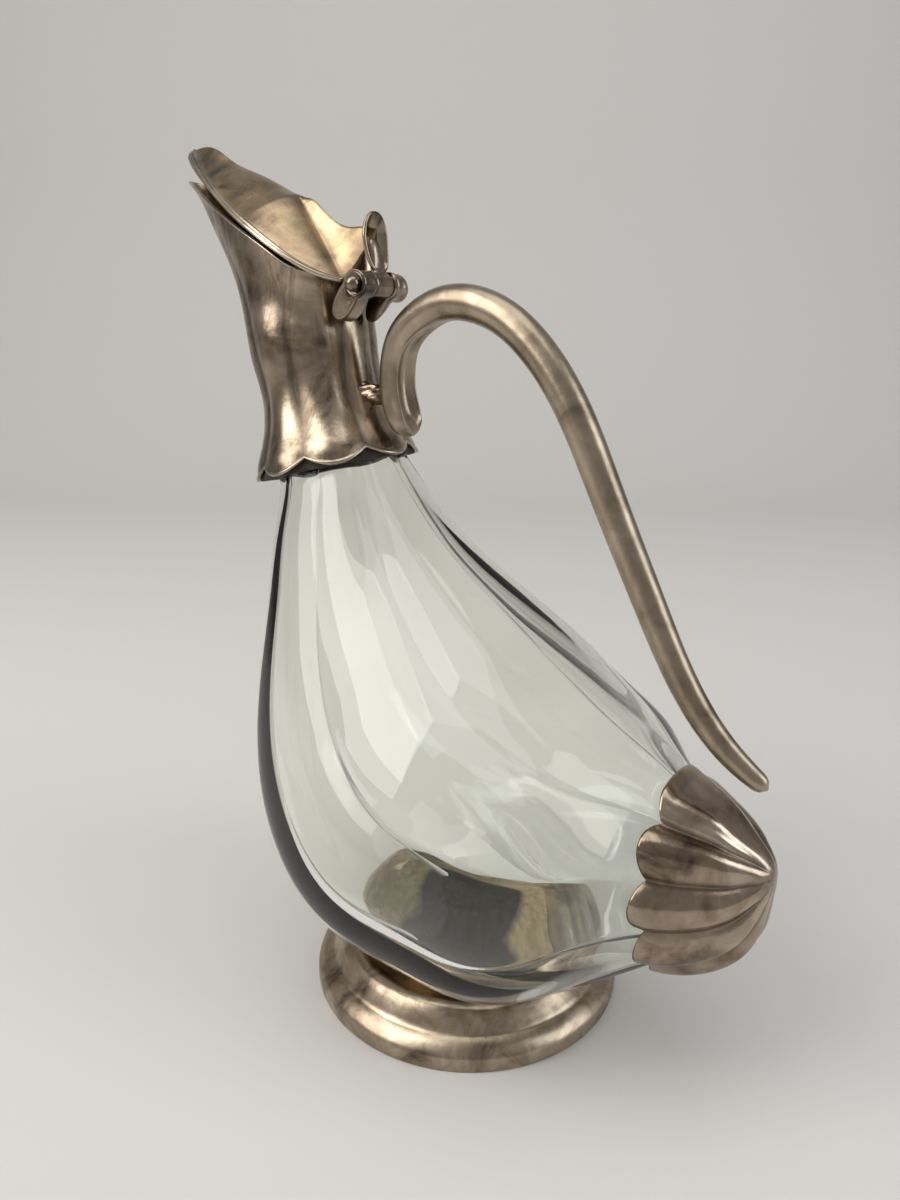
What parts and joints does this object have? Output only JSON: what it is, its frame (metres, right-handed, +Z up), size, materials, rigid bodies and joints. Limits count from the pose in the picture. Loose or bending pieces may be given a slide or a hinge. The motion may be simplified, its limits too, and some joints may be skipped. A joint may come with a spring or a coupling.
{
  "type": "claret_jug",
  "caption": "Claret jug of clear lobed glass with a tarnished silver-plated neck, hinged spout lid, arched handle, round foot and pointed tail cap",
  "frame": {"origin": "centre of the foot's face, on the surface that the jug stands on", "axes": "+Z up; +X from the centre of the foot towards the tail, so the spout points to -X; Y across, with the plane Y = 0 as the plane of symmetry"},
  "size_m": [0.2343, 0.1322, 0.2805],
  "materials": {
    "clear_glass": "clear, glossy",
    "silver_plate": "tarnished silver plate, warm brown, worn satin",
    "gilt_silver": "tarnished plate with a golden, scratched top",
    "steel_pin": "drawn wire",
    "cement": "dark set plaster"
  },
  "bodies": {
    "jug": {"glass_body": "clear_glass", "neck_cement": "cement", "neck_collar": "silver_plate", "hinge_bracket": "silver_plate", "hinge_pin": "steel_pin", "pin_ball": "silver_plate", "handle": "silver_plate", "handle_boss": "silver_plate", "foot": "silver_plate", "foot_cup": "silver_plate", "foot_cement": "cement", "tail_cap": "silver_plate", "tail_cement": "cement"},
    "lid": {"lid": "gilt_silver", "lid_knuckle": "silver_plate", "thumb_piece": "silver_plate"}
  },
  "joints": [
    {"name": "lid_hinge", "type": "hinge", "parent": "jug", "child": "lid", "pos_m": [-0.0396, 0, 0.2324], "axis": [0, 1, 0], "range_deg": [0, 70]}
  ]
}
